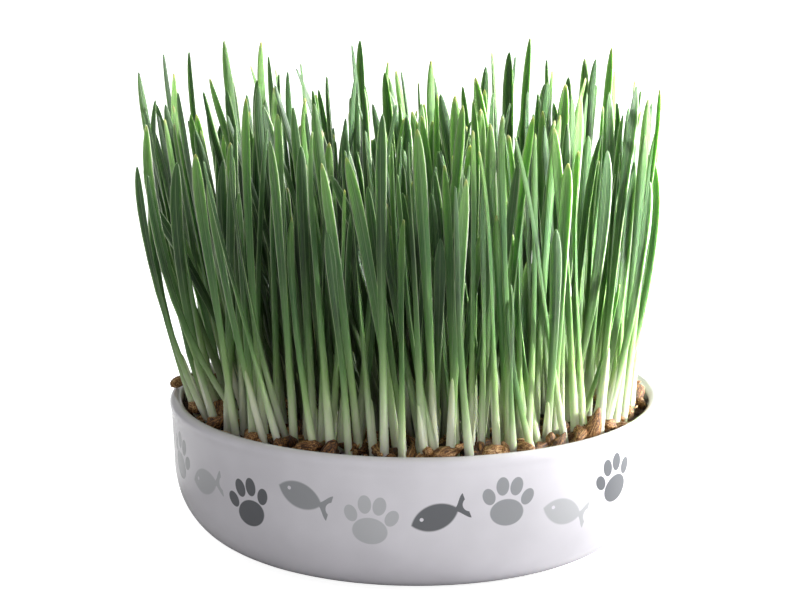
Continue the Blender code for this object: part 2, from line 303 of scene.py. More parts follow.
def kept_in_tuft(site, centres):
    """The site moved, if need be, clear of the cuts round its own mat. Also the number of that tuft."""
    own = int(np.argmin(np.linalg.norm(centres - site, axis=1)))
    for other in range(len(centres)):
        if other == own:
            continue
        way = centres[other] - centres[own]
        way_length = np.linalg.norm(way)
        clear = ((centres[own] + centres[other]) / 2 - site) @ way / way_length
        if clear < ROOT_MARGIN:
            site = site - way / way_length * (ROOT_MARGIN - clear)
    return site, own


def root_sites(draw, centres):
    """The jittered six-sided grid that the kernels were sown on, and each site's tuft."""
    rows = int(ROOT_SPREAD / (ROOT_PITCH * math.sqrt(3) / 2)) + 1
    columns = 2 * rows
    sites = []
    for row in range(-rows, rows + 1):
        for column in range(-columns, columns + 1):
            x = ROOT_PITCH * (column + row / 2) + draw.uniform(-ROOT_JITTER, ROOT_JITTER)
            y = ROOT_PITCH * row * math.sqrt(3) / 2 + draw.uniform(-ROOT_JITTER, ROOT_JITTER)
            if math.hypot(x, y) < ROOT_SPREAD:
                sites.append(kept_in_tuft(np.array([x, y]), centres))
    return sites


def flow(site):
    """How far the tip of a shoot at this site tends to lie from its root."""
    x, y = site * TURN / WAVE_LENGTH
    wave = np.array([math.sin(y + 0.6 * x + 1.0), math.sin(x - 0.5 * y + 2.2)])
    return site * FLARE + np.array([DRIFT_X, 0.0]) + wave * WAVE_LEAN


def drawn_shoot(draw, site, tip, top, looseness):
    """A shoot at the site. Its tip is drawn near the given one, nearer as looseness falls."""
    spread = LEAN_SPREAD * looseness
    drawn_tip = tip + np.array([draw.gauss(0, spread), draw.gauss(0, spread)])
    return Shoot(
        root=site,
        tip=drawn_tip,
        top=top,
        bow=draw.uniform(*BOWS),
        facing=draw.uniform(0, math.pi),
        twist=draw.gauss(0, TWIST_SPREAD),
        width=draw.uniform(*BLADE_WIDTHS),
    )


def held_in(shoot):
    """The shoot with its tip kept within reach."""
    shoot.tip = np.clip(shoot.tip, REACH_LOW, REACH_HIGH)
    return shoot


def grown_stand(centres):
    """The stand with all the CAD model's shoots in it, and the number of each one's tuft."""
    draw = random.Random(SEED)
    sites = root_sites(draw, centres)
    draw.shuffle(sites)
    stand, tufts = Stand(), []
    for tip_x, top in LEADER_TIPS:
        wanted = np.array([(tip_x - DRIFT_X) / (1 + 2 * FLARE), LEADER_DEPTH])
        sites.sort(key=lambda entry: abs(entry[0][0] - wanted[0]) + abs(entry[0][1] - wanted[1]) / 3)
        site, own = sites.pop(0)
        for count in range(DRAWS):
            tip = np.array([tip_x, site[1] * (1 + FLARE)])
            if stand.takes(drawn_shoot(draw, site, tip, top, 0.1 + 0.4 * count / DRAWS)):
                tufts.append(own)
                break
    draw.shuffle(sites)
    for site, own in sites:
        mean_top = TOP_MEAN - TOP_FALL * site[1] + TOP_RISE * abs(site[0]) / ROOT_SPREAD
        for count in range(DRAWS):
            top = min(max(draw.gauss(mean_top, TOP_SPREAD), TOP_LIMITS[0]), TOP_LIMITS[1])
            shoot = held_in(drawn_shoot(draw, site, site + flow(site), top, 1.0 - 0.7 * count / DRAWS))
            if stand.takes(shoot):
                tufts.append(own)
                break
    return stand, tufts


def thin_shoots(stand, centres, count):
    """Younger, thinner shoots between the others, each with the number of its tuft."""
    draw = random.Random(SEED + 500)
    found = []
    for _ in range(count):
        way, reach = draw.uniform(0, TURN), ROOT_SPREAD * math.sqrt(draw.random())
        site, own = kept_in_tuft(reach * np.array([math.cos(way), math.sin(way)]), centres)
        for _ in range(THIN_DRAWS):
            shoot = held_in(drawn_shoot(draw, site, site + flow(site), draw.uniform(*THIN_TOPS), 1.0))
            shoot.width = draw.uniform(*THIN_WIDTHS)
            if stand.takes(shoot, -THIN_OVERLAP):
                found.append((shoot, own))
                break
    return found


# Node trees


class Tree:
    """Adds nodes to a tree. A value given for an input is set on it, and a socket is linked to it."""

    def __init__(self, tree):
        self.tree = tree

    def add(self, kind, inputs=(), **settings):
        node = self.tree.nodes.new(kind)
        for key, value in settings.items():
            setattr(node, key, value)
        for name, value in dict(inputs).items():
            if isinstance(value, bpy.types.NodeSocket):
                self.tree.links.new(value, node.inputs[name])
            else:
                node.inputs[name].default_value = value
        return node

    def math(self, operation, *values):
        return self.add("ShaderNodeMath", enumerate(values), operation=operation).outputs[0]

    def vector(self, operation, *values):
        return self.add("ShaderNodeVectorMath", enumerate(values), operation=operation).outputs[0]

    def minus(self, first, second):
        return self.math("SUBTRACT", first, second)

    def place(self):
        """The place on the object, in metres."""
        return self.add("ShaderNodeTexCoord").outputs["Object"]

    def scaled(self, vector, scale):
        return self.add("ShaderNodeVectorMath", {0: vector, "Scale": scale}, operation="SCALE").outputs[0]

    def sum(self, first, *others):
        for other in others:
            first = self.math("ADD", first, other)
        return first

    def product(self, first, *others):
        for other in others:
            first = self.math("MULTIPLY", first, other)
        return first

    def ease(self, value, low, high, to_low=0.0, to_high=1.0):
        """Goes smoothly from to_low to to_high as the value goes from low to high."""
        inputs = {0: value, 1: low, 2: high, 3: to_low, 4: to_high}
        return self.add("ShaderNodeMapRange", inputs, interpolation_type="SMOOTHSTEP").outputs[0]

    def mix(self, share, first, second, blend="MIX"):
        node = self.add("ShaderNodeMix", {0: share, 6: first, 7: second}, data_type="RGBA", blend_type=blend)
        return node.outputs[2]

    def noise(self, vector, scale, detail=3.0, roughness=0.55):
        inputs = {"Vector": vector, "Scale": scale, "Detail": detail, "Roughness": roughness}
        return self.add("ShaderNodeTexNoise", inputs).outputs[0]

    def ramp(self, value, stops):
        """Colours by the value. The stops are pairs of a place and a colour."""
        node = self.add("ShaderNodeValToRGB", {0: value})
        line = node.color_ramp.elements
        for place, colour in stops[1:-1]:
            line.new(place)
        for element, (place, colour) in zip(line, stops):
            element.position = place
            element.color = (*colour, 1.0)
        return node.outputs[0]

    def attribute(self, name, output="Fac"):
        return self.add("ShaderNodeAttribute", attribute_name=name).outputs[output]

    def group(self, tree, inputs):
        return self.add("ShaderNodeGroup", inputs, node_tree=tree).outputs[0]


def srgb(red, green, blue):
    """A colour given as on a screen, 0 to 255, as Blender's linear values."""
    found = []
    for value in (red / 255, green / 255, blue / 255):
        found.append(value / 12.92 if value <= 0.04045 else ((value + 0.055) / 1.055) ** 2.4)
    return tuple(found)


def opaque(colour):
    return (*tuple(colour)[:3], 1.0)


def new_material(name, roughness=0.5, **sockets):
    """A material, its tree and its Principled shader. Underlines in a socket's name stand for spaces."""
    material = bpy.data.materials.new(name)
    material.use_nodes = True
    tree = Tree(material.node_tree)
    shader = material.node_tree.nodes["Principled BSDF"]
    shader.inputs["Roughness"].default_value = roughness
    for key, value in sockets.items():
        shader.inputs[key.replace("_", " ")].default_value = value
    return material, tree, shader


def link(tree, output, shader, name):
    tree.tree.links.new(output, shader.inputs[name])


def add_bump(tree, shader, height, strength, distance):
    bump = tree.add("ShaderNodeBump", {"Height": height, "Strength": strength, "Distance": distance})
    link(tree, bump.outputs[0], shader, "Normal")


def new_group(name, inputs, output):
    """A shader node group that puts out one number. Its inputs are names and defaults."""
    made = bpy.data.node_groups.new(name, "ShaderNodeTree")
    for key, value in inputs.items():
        kind = "NodeSocketVector" if isinstance(value, tuple) else "NodeSocketFloat"
        made.interface.new_socket(key, in_out="INPUT", socket_type=kind).default_value = value
    made.interface.new_socket(output, in_out="OUTPUT", socket_type="NodeSocketFloat")
    tree = Tree(made)
    return made, tree, tree.add("NodeGroupInput").outputs, tree.add("NodeGroupOutput")


def grain_group():
    """A fibrous grain. The stretch says how fine it is along each axis."""
    inputs = {"Place": (0.0, 0.0, 0.0), "Stretch": (1.0, 1.0, 1.0), "Detail": 3.0, "Roughness": 0.55}
    made, tree, given, out = new_group("fibre grain", inputs, "Grain")
    stretched = tree.vector("MULTIPLY", given["Place"], given["Stretch"])
    grain = tree.noise(stretched, 1.0, given["Detail"], given["Roughness"])
    tree.tree.links.new(grain, out.inputs[0])
    return made


def fibre_grain(tree, place, stretch, detail=3.0, roughness=0.55):
    """The grain that all the plant's materials share. Its group is built the first time."""
    made = bpy.data.node_groups.get("fibre grain") or grain_group()
    inputs = {"Place": place, "Stretch": stretch, "Detail": detail, "Roughness": roughness}
    return tree.group(made, inputs)


def geometry_tree(name, inputs):
    """A geometry node tree. Its inputs are names with a socket type and a default."""
    made = bpy.data.node_groups.new(name, "GeometryNodeTree")
    made.interface.new_socket("Geometry", in_out="INPUT", socket_type="NodeSocketGeometry")
    for key, (kind, value) in inputs.items():
        socket = made.interface.new_socket(key, in_out="INPUT", socket_type=kind)
        if value is not None:
            socket.default_value = value
    made.interface.new_socket("Geometry", in_out="OUTPUT", socket_type="NodeSocketGeometry")
    tree = Tree(made)
    return made, tree, tree.add("NodeGroupInput").outputs


def finish_tree(tree, geometry, material):
    """Ends a geometry tree in Realize Instances and Set Material."""
    realized = tree.add("GeometryNodeRealizeInstances", {0: geometry}).outputs[0]
    painted = tree.add("GeometryNodeSetMaterial", {"Geometry": realized, "Material": material}).outputs[0]
    tree.add("NodeGroupOutput", {0: painted})


def stored(tree, geometry, name, value, kind="FLOAT"):
    inputs = {"Geometry": geometry, "Name": name, "Value": value}
    return tree.add("GeometryNodeStoreNamedAttribute", inputs, data_type=kind, domain="POINT").outputs[0]


def read(tree, name, kind="FLOAT"):
    return tree.add("GeometryNodeInputNamedAttribute", {"Name": name}, data_type=kind).outputs[0]


# Meshes


def new_piece(name, data, material=None):
    made = bpy.data.objects.new(name, data)
    bpy.context.scene.collection.objects.link(made)
    if material:
        data.materials.append(material)
    return made


def mesh_from(bm, name):
    mesh = bpy.data.meshes.new(name)
    bm.to_mesh(mesh)
    bm.free()
    return mesh


def grown_by(piece, tree, values):
    """Runs the geometry tree on the piece with these inputs, and keeps the result as a plain mesh."""
    modifier = piece.modifiers.new(tree.name, "NODES")
    modifier.node_group = tree
    for item in tree.interface.items_tree:
        if item.in_out == "INPUT" and item.name in values:
            modifier[item.identifier] = values[item.name]
    graph = bpy.context.evaluated_depsgraph_get()
    mesh = bpy.data.meshes.new_from_object(piece.evaluated_get(graph))
    piece.modifiers.clear()
    piece.data = mesh
    point_outwards(mesh)
    return piece


def point_outwards(mesh):
    bm = bmesh.new()
    bm.from_mesh(mesh)
    bmesh.ops.recalc_face_normals(bm, faces=bm.faces)
    bm.to_mesh(mesh)
    bm.free()
    mesh.shade_smooth()


def hand_over(piece, slot, *nodes):
    """Attaches the finished piece to the root body, and hides the CAD parts that it takes the place of."""
    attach(piece, "root")
    if nodes:
        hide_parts(*nodes)


def mesh_of_lines(name, lines, attributes):
    """Loose edges along each line of points, with attributes of one value, or one vector, a point."""
    starts = np.cumsum([0] + [len(line) for line in lines])
    edges = [(k, k + 1) for low, high in zip(starts, starts[1:]) for k in range(low, high - 1)]
    mesh = bpy.data.meshes.new(name)
    mesh.from_pydata([tuple(point) for line in lines for point in line], edges, [])
    for key, values in attributes.items():
        flat = np.concatenate(values)
        kind = "FLOAT_VECTOR" if flat.ndim == 2 else "FLOAT"
        field = "vector" if flat.ndim == 2 else "value"
        mesh.attributes.new(key, kind, "POINT").data.foreach_set(field, flat.astype(np.float32).ravel())
    return mesh


def turned_mesh(name, profile, steps):
    """A closed shape turned about Z from a profile of radius and height that starts and ends on the axis."""
    bm = bmesh.new()
    top = bm.verts.new((0, 0, profile[0][1]))
    bottom = bm.verts.new((0, 0, profile[-1][1]))
    rings = []
    for k in range(steps):
        turn = TURN * k / steps
        way = (math.cos(turn), math.sin(turn))
        rings.append([bm.verts.new((radius * way[0], radius * way[1], z)) for radius, z in profile[1:-1]])
    for k in range(steps):
        first, second = rings[k], rings[(k + 1) % steps]
        bm.faces.new((top, first[0], second[0]))
        for j in range(len(first) - 1):
            bm.faces.new((first[j], first[j + 1], second[j + 1], second[j]))
        bm.faces.new((first[-1], bottom, second[-1]))
    bmesh.ops.recalc_face_normals(bm, faces=bm.faces)
    mesh = mesh_from(bm, name)
    mesh.shade_smooth()
    return mesh


def belly(foot_radius, wall_radius, low, high, points):
    """The rounded side from the foot up to the wall, as radius and height."""
    found = []
    for step in range(points + 1):
        turn = math.pi / 2 * step / points
        out = math.sin(turn) ** (2 / BELLY_FULLNESS)
        radius = foot_radius + (wall_radius - foot_radius) * out
        found.append((radius, low + (high - low) * (1 - math.cos(turn))))
    return found


# The bowl


def on_turned_axes(tree, x, y, turn):
    """The place x and y, as read on axes turned by this angle."""
    cosine, sine = tree.math("COSINE", turn), tree.math("SINE", turn)
    along = tree.sum(tree.product(x, cosine), tree.product(y, sine))
    return along, tree.minus(tree.product(y, cosine), tree.product(x, sine))


def oval_group():
    """The mask of a soft-edged oval."""
    centred = dict.fromkeys(("Across", "Up", "Centre X", "Centre Y", "Turn"), 0.0)
    made, tree, given, out = new_group("oval", {**centred, "Radius X": 1.0, "Radius Y": 1.0}, "Mask")
    x, y = tree.minus(given["Across"], given["Centre X"]), tree.minus(given["Up"], given["Centre Y"])
    along, aside = on_turned_axes(tree, x, y, given["Turn"])
    squares = []
    for length, radius in ((along, given["Radius X"]), (aside, given["Radius Y"])):
        share = tree.math("ABSOLUTE", tree.math("DIVIDE", length, radius))
        squares.append(tree.math("POWER", share, 2.0))
    mask = tree.ease(tree.math("SQRT", tree.sum(*squares)), 0.96, 1.04, 1.0, 0.0)
    tree.tree.links.new(mask, out.inputs[0])
    return made


def printed_band(tree, settings):
    """The grey motifs round the wall: paw prints and fishes by turns. Puts out mask, grey and place."""
    shape = oval_group()
    place = tree.add("ShaderNodeSeparateXYZ", {0: tree.place()}).outputs
    angle = tree.minus(tree.math("ARCTAN2", place[0], tree.product(place[1], -1.0)), PRINT_TURN)
    count = float(settings.motif_count)
    cells = tree.product(angle, count / TURN)
    number = tree.math("ROUND", cells)
    pitch = TURN * WALL_RADIUS / MM / count
    local_x = tree.product(tree.minus(cells, number), pitch)
    swing = tree.math("SINE", tree.product(number, SWING_WAVES * TURN / count))
    local_y = tree.minus(tree.product(place[2], 1 / MM), settings.band_height / MM)
    local_y = tree.minus(local_y, tree.product(swing, SWING_HEIGHT))
    tilt = tree.product(tree.math("COSINE", tree.product(number, TILT_WAVES * TURN / count)), TILT_ANGLE)
    x, y = on_turned_axes(tree, local_x, local_y, tilt)

    def oval(centre_x, centre_y, radius_x, radius_y, turn=0.0):
        inputs = {"Across": x, "Up": y, "Centre X": centre_x, "Centre Y": centre_y, "Turn": turn}
        return tree.group(shape, {**inputs, "Radius X": radius_x, "Radius Y": radius_y})

    paw = oval(*PAW[0])
    for toe in PAW[1:]:
        paw = tree.math("MAXIMUM", paw, oval(*toe))
    body = tree.math("MINIMUM", oval(*FISH_SIDES[0]), oval(*FISH_SIDES[1]))
    tail_width = tree.ease(tree.minus(x, 4.2), 0.0, 4.0, 0.4, 3.9)
    tail = tree.math("LESS_THAN", tree.math("ABSOLUTE", y), tail_width)
    begun, ended = tree.math("GREATER_THAN", x, TAIL_SPAN[0]), tree.math("LESS_THAN", x, TAIL_SPAN[1])
    tail = tree.product(tail, begun, ended)
    fish = tree.math("MAXIMUM", body, tree.minus(tail, oval(*TAIL_NOTCH)))
    fish = tree.minus(fish, oval(*FISH_EYE))
    odd = tree.math("PINGPONG", number, 1.0)
    mask = tree.math("MAXIMUM", tree.product(paw, odd), tree.product(fish, tree.minus(1.0, odd)))
    mask = tree.math("MAXIMUM", mask, 0.0)
    third = tree.math("FLOORED_MODULO", number, 3.0)
    grey = tree.mix(tree.ease(third, 0.4, 0.6), opaque(settings.print_dark), opaque(settings.print_mid))
    grey = tree.mix(tree.ease(third, 1.4, 1.6), grey, opaque(settings.print_light))
    return mask, grey, place


def glaze_material(settings):
    material, tree, shader = new_material("white_glaze", 0.12, Coat_Weight=0.35, Coat_Roughness=0.04)
    mask, grey, place = printed_band(tree, settings)
    position = tree.place()
    cloud = tree.noise(position, 55.0, 2.0)
    white = opaque(settings.glaze_colour)
    shaded = tuple(value * 0.93 for value in white[:3])
    ground = tree.mix(tree.ease(cloud, 0.3, 0.7), white, opaque(shaded))
    lip = tree.ease(place[2], BOWL_HEIGHT - 1.2 * MM, BOWL_HEIGHT, 0.0, 0.25)
    ground = tree.mix(lip, ground, opaque(srgb(214, 208, 200)))
    painted = tree.mix(tree.product(mask, 0.94), ground, grey)
    bare = tree.ease(place[2], 0.4 * MM, 0.9 * MM, 1.0, 0.0)
    colour = tree.mix(bare, painted, opaque(srgb(226, 218, 205)))
    link(tree, colour, shader, "Base Color")
    link(tree, tree.ease(bare, 0.0, 1.0, 0.12, 0.8), shader, "Roughness")
    link(tree, tree.ease(bare, 0.0, 1.0, 0.35, 0.0), shader, "Coat Weight")
    ripple = tree.sum(tree.noise(position, 130.0, 2.0), tree.product(tree.noise(position, 900.0, 1.0), 0.15))
    add_bump(tree, shader, ripple, 0.25, 0.00025)
    return material


def bowl_profile():
    """From the floor inside, up and over the rolled lip, and down the outside to the foot ring."""
    inside = belly(FLOOR_RADIUS, INSIDE_RADIUS, FLOOR_HEIGHT, BELLY_HEIGHT, 14)
    lip = []
    for step in range(LIP_STEPS + 1):
        turn = math.pi * (1.08 - 1.22 * step / LIP_STEPS)
        radius = BOWL_RADIUS - LIP_RADIUS + LIP_RADIUS * math.cos(turn)
        lip.append((radius, BOWL_HEIGHT - LIP_RADIUS + LIP_RADIUS * math.sin(turn)))
    outside = belly(FOOT_RADIUS, WALL_RADIUS, 0.3 * MM, BELLY_HEIGHT, 20)
    return [(0.0, FLOOR_HEIGHT), *inside, *lip, *NECK, *reversed(outside), *FOOT_RING, *UNDERSIDE]


# The soil


def soil_material(settings):
    material, tree, shader = new_material("potting_soil", 0.95)
    position = tree.place()
    coarse, fine = tree.noise(position, 260.0, 5.0, 0.7), tree.noise(position, 1400.0, 3.0, 0.7)
    colour = tree.ramp(coarse, (
        (0.30, srgb(28, 18, 12)), (0.50, opaque(settings.colour)[:3]),
        (0.64, srgb(104, 74, 48)), (0.8, srgb(150, 116, 78)),
    ))  # fmt: skip
    colour = tree.mix(tree.ease(fine, 0.62, 0.75, 0.0, 0.5), colour, opaque(srgb(170, 135, 92)))
    link(tree, colour, shader, "Base Color")
    add_bump(tree, shader, tree.sum(coarse, tree.product(fine, 0.5)), 0.9, 0.0012)
    return material


def lumpy_tree():
    """Raises the top of the soil into lumps."""
    made, tree, given = geometry_tree(
        "lumpy ground",
        {
            "Lump Height": ("NodeSocketFloat", 1.0 * MM),
            "Level": ("NodeSocketFloat", SOIL_TOP),
            "Material": ("NodeSocketMaterial", None),
        },
    )
    position = tree.add("GeometryNodeInputPosition").outputs[0]
    z = tree.add("ShaderNodeSeparateXYZ", {0: position}).outputs[2]
    coarse, fine = tree.noise(position, 95.0, 2.0), tree.noise(position, 330.0, 3.0)
    lumps = tree.minus(tree.sum(coarse, tree.product(fine, 0.8)), 0.9)
    on_top = tree.math("GREATER_THAN", z, tree.minus(given["Level"], 0.5 * MM))
    lift = tree.product(lumps, given["Lump Height"], 4.0, on_top)
    offset = tree.add("ShaderNodeCombineXYZ", {2: lift}).outputs[0]
    moved = tree.add("GeometryNodeSetPosition", {"Geometry": given["Geometry"], "Offset": offset}).outputs[0]
    finish_tree(tree, moved, given["Material"])
    return made


def soil_profile():
    """From the middle of the top out to the bowl, and down along its inside to the floor."""
    gap = 0.05 * MM
    top = [(radius * MM, SOIL_TOP) for radius in np.linspace(1.2, 70.6, 58)]
    side = belly(FLOOR_RADIUS, INSIDE_RADIUS - gap, FLOOR_HEIGHT + gap, BELLY_HEIGHT, 8)
    edge = (INSIDE_RADIUS - gap, SOIL_TOP - 0.6 * MM)
    return [(0.0, SOIL_TOP), *top, edge, *reversed(side), (0.0, FLOOR_HEIGHT + gap)]


def scatter_tree():
    """Puts a copy of one shape on every point, turned and sized by the points' own attributes."""
    made, tree, given = geometry_tree(
        "scattered pieces", {"Shape": ("NodeSocketObject", None), "Material": ("NodeSocketMaterial", None)}
    )
    shape = tree.add("GeometryNodeObjectInfo", {"Object": given["Shape"]}).outputs["Geometry"]
    turn = tree.add("FunctionNodeEulerToRotation", {0: read(tree, "turn", "FLOAT_VECTOR")}).outputs[0]
    size = read(tree, "size", "FLOAT_VECTOR")
    inputs = {"Points": given["Geometry"], "Instance": shape, "Rotation": turn, "Scale": size}
    copies = tree.add("GeometryNodeInstanceOnPoints", inputs).outputs[0]
    finish_tree(tree, copies, given["Material"])
    return made


class Litter:
    """Gathers what lies loose on the soil, one entry a copy."""

    def __init__(self):
        self.points = []
        self.values = {"turn": [], "size": [], "tint": []}

    def add(self, way, reach, height, turn, size, tint):
        self.points.append(np.array([(reach * math.cos(way), reach * math.sin(way), height)]))
        for values, value in zip(self.values.values(), (turn, size, tint)):
            values.append(np.array([value]))

    def scattered(self, name, shape, tree, material):
        """Hands over one piece, with a copy of the shape for each entry. The shape itself is removed."""
        piece = new_piece(name, mesh_of_lines(name, self.points, self.values))
        grown_by(piece, tree, {"Shape": shape, "Material": material})
        bpy.data.objects.remove(shape)
        hand_over(piece, "soil")


def lump_shape():
    """A rough crumb, about one unit across."""
    bm = bmesh.new()
    bmesh.ops.create_icosphere(bm, subdivisions=1, radius=0.5)
    draw = random.Random(SEED + 7)
    for vertex in bm.verts:
        vertex.co *= draw.uniform(0.72, 1.22)
    return new_piece("crumb_shape", mesh_from(bm, "crumb_shape"))


def kernel_shape():
    """A rough, ridged barley kernel, about two units long on X, with a pointed beak at one end."""
    bm = bmesh.new()
    bmesh.ops.create_uvsphere(bm, u_segments=10, v_segments=8, radius=1.0)
    draw = random.Random(SEED + 8)
    own_place = bm.verts.layers.float_vector.new("own_place")
    for vertex in bm.verts:
        z, x, y = vertex.co
        around = math.atan2(y, x)
        vertex[own_place] = (z, x, y)
        point = (1 - 0.22 * abs(z) ** 3) * (1 - 0.30 * z)
        ridge = draw.uniform(0.86, 1.12) * (1 + 0.08 * math.cos(5 * around))
        vertex.co = (z + 0.35 * max(0.0, z) ** 6, y * point * ridge, x * point * ridge)
    bmesh.ops.recalc_face_normals(bm, faces=bm.faces)
    return new_piece("kernel_shape", mesh_from(bm, "kernel_shape"))


def husk_material():
    """Brown husks. Their fibres run along each kernel, whichever way it lies."""
    material, tree, shader = new_material("barley_husk", 0.55)
    position = tree.place()
    tint = tree.attribute("tint")
    own_place = tree.vector("MULTIPLY", tree.attribute("own_place", "Vector"), (1.2, 5.0, 5.0))
    own_place = tree.vector("ADD", own_place, tree.scaled(position, 150.0))
    fibres = fibre_grain(tree, own_place, (1.0, 1.0, 1.0), 4.0, 0.65)
    fine = tree.noise(position, 2600.0, 3.0)
    grain = tree.sum(tree.product(fibres, 0.7), tree.product(fine, 0.3))
    shade = tree.sum(tree.product(tint, 0.55), tree.product(tree.ease(grain, 0.36, 0.64), 0.7), -0.26)
    colour = tree.ramp(shade, (
        (0.06, srgb(44, 26, 14)), (0.32, srgb(104, 66, 34)),
        (0.6, srgb(166, 118, 66)), (0.95, srgb(226, 192, 142)),
    ))  # fmt: skip
    link(tree, colour, shader, "Base Color")
    add_bump(tree, shader, grain, 0.8, 0.0006)
    return material


# The leaves


def swept_leaf_tree():
    """Sweeps a ring of points along each line. It is round in a stem and a thin folded sheet in a leaf."""
    made, tree, given = geometry_tree(
        "swept leaves",
        {
            "Sides": ("NodeSocketInt", LEAF_SIDES),
            "Leaf Half Depth": ("NodeSocketFloat", LEAF_HALF_DEPTH),
            "Midrib": ("NodeSocketFloat", 0.22 * MM),
            "Material": ("NodeSocketMaterial", None),
        },
    )
    lines = tree.add("GeometryNodeMeshToCurve", {0: given["Geometry"]}).outputs[0]
    lines = stored(tree, lines, "middle", tree.add("GeometryNodeInputPosition").outputs[0], "FLOAT_VECTOR")
    circle = {"Resolution": given["Sides"], "Radius": MM}
    ring = tree.add("GeometryNodeCurvePrimitiveCircle", circle).outputs[0]
    turn = tree.product(tree.add("GeometryNodeSplineParameter").outputs[0], TURN)
    ring = stored(tree, ring, "across", tree.math("COSINE", turn))
    ring = stored(tree, ring, "through", tree.math("SINE", turn))
    sweep = {"Curve": lines, "Profile Curve": ring, "Fill Caps": True}
    swept = tree.add("GeometryNodeCurveToMesh", sweep).outputs[0]
    across, through, opened = read(tree, "across"), read(tree, "through"), read(tree, "opened")
    half_width = read(tree, "half_width")
    sideways = tree.scaled(read(tree, "side", "FLOAT_VECTOR"), tree.product(across, half_width))
    flank = tree.math("ABSOLUTE", across)
    fold = tree.product(tree.minus(tree.math("POWER", flank, 1.5), 0.4), half_width, read(tree, "fold"))
    sheet = tree.product(through, given["Leaf Half Depth"], read(tree, "thinning"))
    back = tree.math("MINIMUM", through, 0.0)
    rib = tree.product(tree.ease(flank, 0.0, 0.3, 1.0, 0.0), back, given["Midrib"])
    leaf = tree.sum(fold, sheet, tree.product(rib, read(tree, "thinning")))
    stem = tree.product(through, read(tree, "half_depth"))
    depth = tree.sum(tree.product(leaf, opened), tree.product(stem, tree.minus(1.0, opened)))
    outwards = tree.scaled(read(tree, "front", "FLOAT_VECTOR"), depth)
    place = tree.vector("ADD", tree.vector("ADD", read(tree, "middle", "FLOAT_VECTOR"), sideways), outwards)
    moved = tree.add("GeometryNodeSetPosition", {"Geometry": swept, "Position": place}).outputs[0]
    merged = tree.add("GeometryNodeMergeByDistance", {"Geometry": moved, "Distance": 0.01 * MM}).outputs[0]
    finish_tree(tree, merged, given["Material"])
    return made


class Lines:
    """Gathers lines of points and their attributes for the swept tree."""

    VECTORS = ("side", "front")
    KEYS = (*VECTORS, "half_width", "half_depth", "opened", "fold", "thinning", "along", "tint", "shade")

    def __init__(self):
        self.points = []
        self.values = {key: [] for key in self.KEYS}

    def add(self, points, side, half_width, half_depth, opened, fold, along, tint, thinning, shade=0.0):
        count = len(points)
        flat = np.column_stack([side, np.zeros(count)])
        values = {
            "side": flat,
            "front": np.column_stack([-flat[:, 1], flat[:, 0], np.zeros(count)]),
            "half_width": half_width,
            "half_depth": half_depth,
            "opened": opened,
            "fold": fold,
            "thinning": thinning,
            "along": along,
            "tint": tint,
            "shade": shade,
        }
        self.points.append(points)
        for key, value in values.items():
            shape = (count, 3) if key in self.VECTORS else (count,)
            self.values[key].append(np.broadcast_to(value, shape))

    def grown(self, name, tree, inputs):
        piece = new_piece(name, mesh_of_lines(name, self.points, self.values))
        return grown_by(piece, tree, inputs)


def add_leaf(lines, shoot, draw):
    """One shoot with a stem, an opening sheath and a leaf that sways and hoods a little at its tip."""
    t = np.array(LEAF_STATIONS)
    points = shoot.centre(t)
    half_width, half_depth = shoot.breadth(t)
    side = shoot.broadside(t)
    opens, over = draw.uniform(0.24, 0.42), draw.uniform(0.20, 0.38)
    opened = np.clip((t - opens) / over, 0, 1)
    opened = opened**2 * (3 - 2 * opened)
    swing = draw.uniform(-0.7, 0.7) * MM
    waves = draw.uniform(1.0, 2.2) * math.pi
    sway = swing * np.sin(waves * t + draw.uniform(0, TURN)) * t
    hood = draw.uniform(-2.4, 2.4) * MM * np.clip((t - 0.72) / 0.28, 0, 1) ** 2
    points[:, 0] += -side[:, 1] * (sway + hood)
    points[:, 1] += side[:, 0] * (sway + hood)
    fold = draw.uniform(0.35, 0.95) * (1.15 - 0.6 * t)
    thinning = np.where(t > 0.999, 0.0, 1.0)
    # Painted shade: a stem deep in the stand is darkened low down, fading to none before its tip
    painted_shade_inwards = np.clip((PAINTED_SHADE_WITHIN - np.linalg.norm(shoot.root)) / PAINTED_SHADE_WIDTH, 0, 1)
    shade = painted_shade_inwards * np.clip((0.85 - t) / 0.45, 0, 1)
    lines.add(points, side, half_width, half_depth, opened, fold, t, draw.random(), thinning, shade)


def add_sheath(lines, shoot, draw):
    """The pale sheath that the first leaf came out of. It stands beside the foot of the stem."""
    share = np.array((0.0, 0.2, 0.45, 0.65, 0.8, 0.9, 0.96, 1.0))
    tall = draw.uniform(0.16, 0.34)
    points = shoot.centre(share * tall)
    way = draw.uniform(0, TURN)
    aside = np.array([math.cos(way), math.sin(way)])
    points[:, :2] += aside * (0.25 + 0.75 * share[:, None] ** 2) * MM
    half = draw.uniform(1.25, 1.45) * MM * (1 - 0.35 * share) * np.sqrt(np.clip(1 - share**6, 0, 1))
    square = way + 1.57
    side = np.tile([math.cos(square), math.sin(square)], (len(share), 1))
    lines.add(points, side, half, half * 0.85, 0.0, 0.0, share, draw.random(), 1.0)


